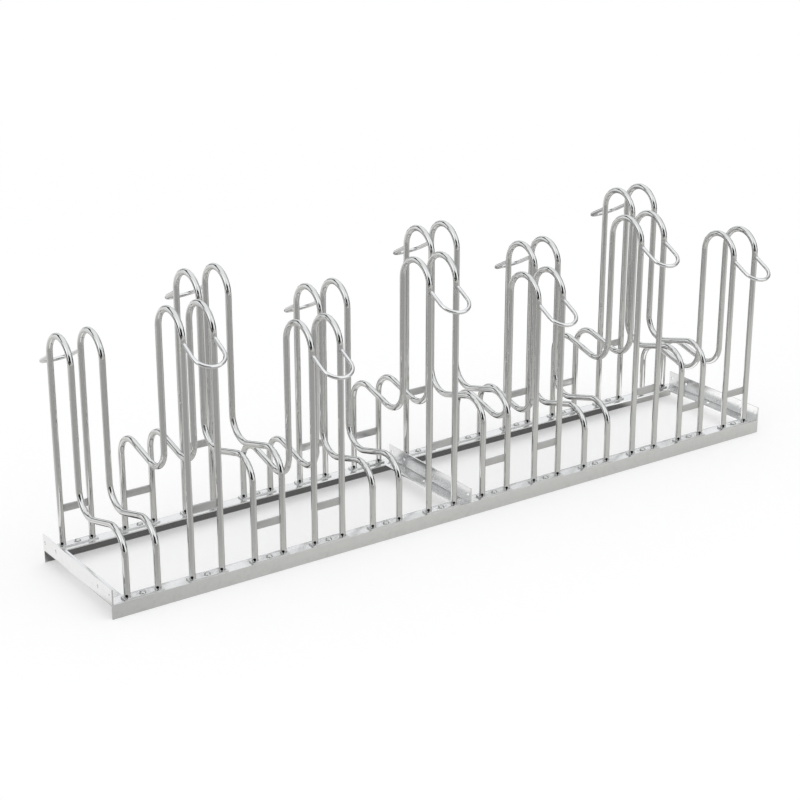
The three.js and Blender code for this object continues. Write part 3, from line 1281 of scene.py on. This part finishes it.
def studioPlace(azimuth, elevation):
    # A place on a dome round the rack, and the turn of a thing there that faces the rack along -Z
    around = math.radians(azimuth)
    up = math.radians(elevation)
    outwards = Vector((math.sin(around) * math.cos(up), math.cos(around) * math.cos(up), math.sin(up)))
    return outwards * studio["reach"], outwards.to_track_quat("Z", "Y").to_euler()


def spanOf(degrees):
    return 2 * studio["reach"] * math.tan(math.radians(degrees / 2))


def addLamp(name, place, turn, width, height, level):
    bpy.ops.object.light_add(type="AREA", location=place, rotation=turn)
    lamp = bpy.context.active_object
    lamp.name = name
    lamp.data.shape = "RECTANGLE"
    lamp.data.size = width
    lamp.data.size_y = height
    lamp.data.energy = level * math.pi * width * height
    lamp.data.color = studio["lampTint"]
    lamp.visible_camera = False


def addCard(name, place, turn, width, height, level, softEdge):
    # Seen in the metal only, so that it neither hides nor shades anything
    bpy.ops.mesh.primitive_plane_add(size=1, location=place, rotation=turn)
    card = bpy.context.active_object
    card.name = name
    card.scale = (width, height, 1)
    card.visible_camera = False
    card.visible_diffuse = False
    card.visible_shadow = False
    card.visible_transmission = False
    material = bpy.data.materials.new(name)
    material.use_nodes = True
    tree = material.node_tree
    tree.nodes.clear()
    # The card fades from its middle to its nearest edge
    spot = addNode(tree, "ShaderNodeTexCoord")
    fromMiddle = addNode(tree, "ShaderNodeVectorMath", operation="ABSOLUTE")
    tree.links.new(spot.outputs["Object"], fromMiddle.inputs[0])
    parts = addNode(tree, "ShaderNodeSeparateXYZ")
    tree.links.new(fromMiddle.outputs[0], parts.inputs[0])
    farther = addNode(tree, "ShaderNodeMath", operation="MAXIMUM")
    tree.links.new(parts.outputs["X"], farther.inputs[0])
    tree.links.new(parts.outputs["Y"], farther.inputs[1])
    fade = addNode(tree, "ShaderNodeMapRange", {
        "From Min": 0.5 * (1 - softEdge),
        "From Max": 0.5,
        "To Min": 1.0,
        "To Max": 0.0,
    }, interpolation_type="SMOOTHSTEP")
    tree.links.new(farther.outputs[0], fade.inputs["Value"])
    clear = addNode(tree, "ShaderNodeBsdfTransparent")
    shade = addNode(tree, "ShaderNodeEmission", {"Color": (1, 1, 1, 1), "Strength": level})
    mixed = addNode(tree, "ShaderNodeMixShader")
    tree.links.new(fade.outputs[0], mixed.inputs[0])
    tree.links.new(clear.outputs[0], mixed.inputs[1])
    tree.links.new(shade.outputs[0], mixed.inputs[2])
    output = addNode(tree, "ShaderNodeOutputMaterial")
    tree.links.new(mixed.outputs[0], output.inputs["Surface"])
    card.data.materials.append(material)


makeFloor()
makeWorld()
addLamp(
    "ceiling", (0, 0, studio["ceilingHeight"]), (0, 0, 0),
    studio["ceilingSize"], studio["ceilingSize"], studio["ceilingLevel"],
)
for name, azimuth, elevation, width, height, level in softboxes:
    place, turn = studioPlace(azimuth, elevation)
    addLamp(name, place, turn, spanOf(width), spanOf(height), level)
for name, azimuth, elevation, width, height, level, softEdge in darkCards:
    place, turn = studioPlace(azimuth, elevation)
    addCard(name, place, turn, spanOf(width), spanOf(height), level, softEdge)
# The cards on the floor lie a hair above one another
for number, (name, x, y, width, depth, level, softEdge) in enumerate(innerCards):
    place = (x, y, studio["innerCardHeight"] + studio["innerCardStep"] * number)
    addCard(name, place, (0, 0, 0), width, depth, level, softEdge)
for number, (name, azimuth, near, far, width, level, softEdge) in enumerate(groundCards):
    around = math.radians(azimuth)
    middle = (near + far) / 2
    height = studio["groundCardHeight"] + studio["groundCardStep"] * number
    place = (math.sin(around) * middle, math.cos(around) * middle, height)
    addCard(name, place, (0, 0, -around), width, far - near, level, softEdge)
print("studio set")
